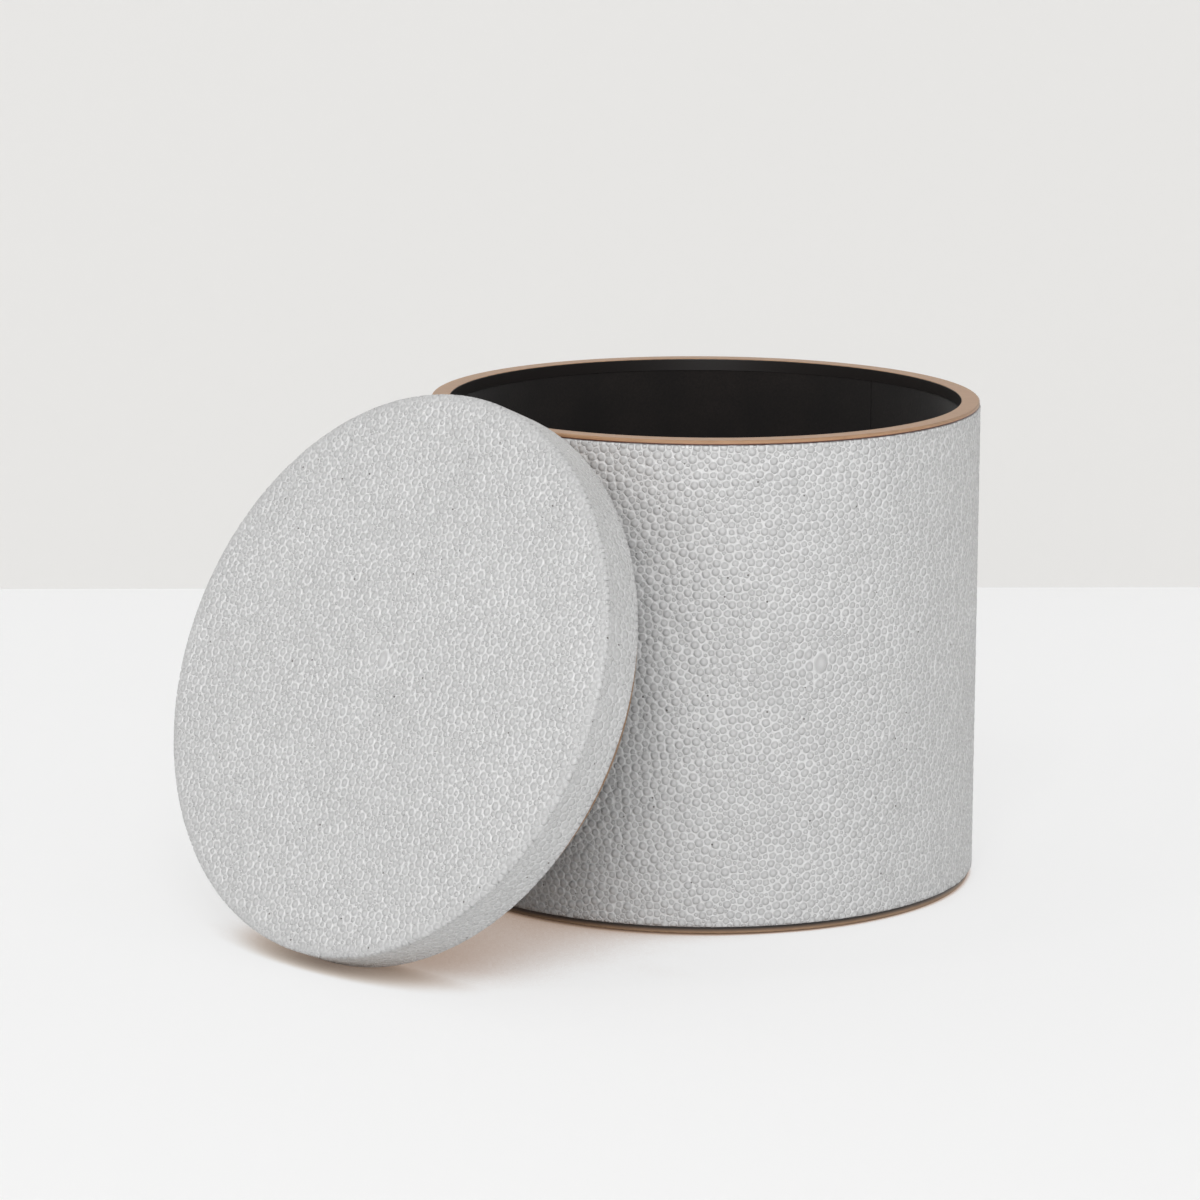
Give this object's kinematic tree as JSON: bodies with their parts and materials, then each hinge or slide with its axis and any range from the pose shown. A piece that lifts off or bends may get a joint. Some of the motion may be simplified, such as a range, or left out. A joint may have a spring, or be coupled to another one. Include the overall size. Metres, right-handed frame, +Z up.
{
  "type": "cotton pad holder",
  "caption": "Round canister for cotton pads, wrapped in pebbled sheet with tan edges and lined in black, with a flat plug lid that leans on edge beside it.",
  "frame": {"origin": "centre of the canister's foot, on the felt's underside, where it rests on the table", "axes": "+Z up along the canister's axis; -Y towards the side where the lid leans; +X to the right seen from that side"},
  "size_m": [0.108, 0.1633, 0.1022],
  "materials": {
    "pebbled_sheet": "satin, embossed with round pebbles",
    "tan_lacquered_board": "satin lacquer",
    "fibreboard": "bare",
    "black_lining": "matte",
    "foot_felt": "felted"
  },
  "bodies": {
    "canister": {"base_felt": "foot_felt", "base_board": "tan_lacquered_board", "wall_tube": "fibreboard", "rim_ring": "tan_lacquered_board", "body_sheet": "pebbled_sheet", "inner_lining": "black_lining", "inner_pad": "black_lining"},
    "lid": {"lid_core": "fibreboard", "lid_lip_board": "tan_lacquered_board", "lid_top_sheet": "pebbled_sheet", "lid_side_sheet": "pebbled_sheet", "plug_core": "tan_lacquered_board", "plug_side_lining": "tan_lacquered_board", "plug_face_lining": "black_lining"}
  },
  "joints": [
    {"name": "lid_lift", "type": "slide", "parent": "canister", "child": "lid", "axis": [0, 0, 1], "range_m": [0, 0.12]}
  ]
}
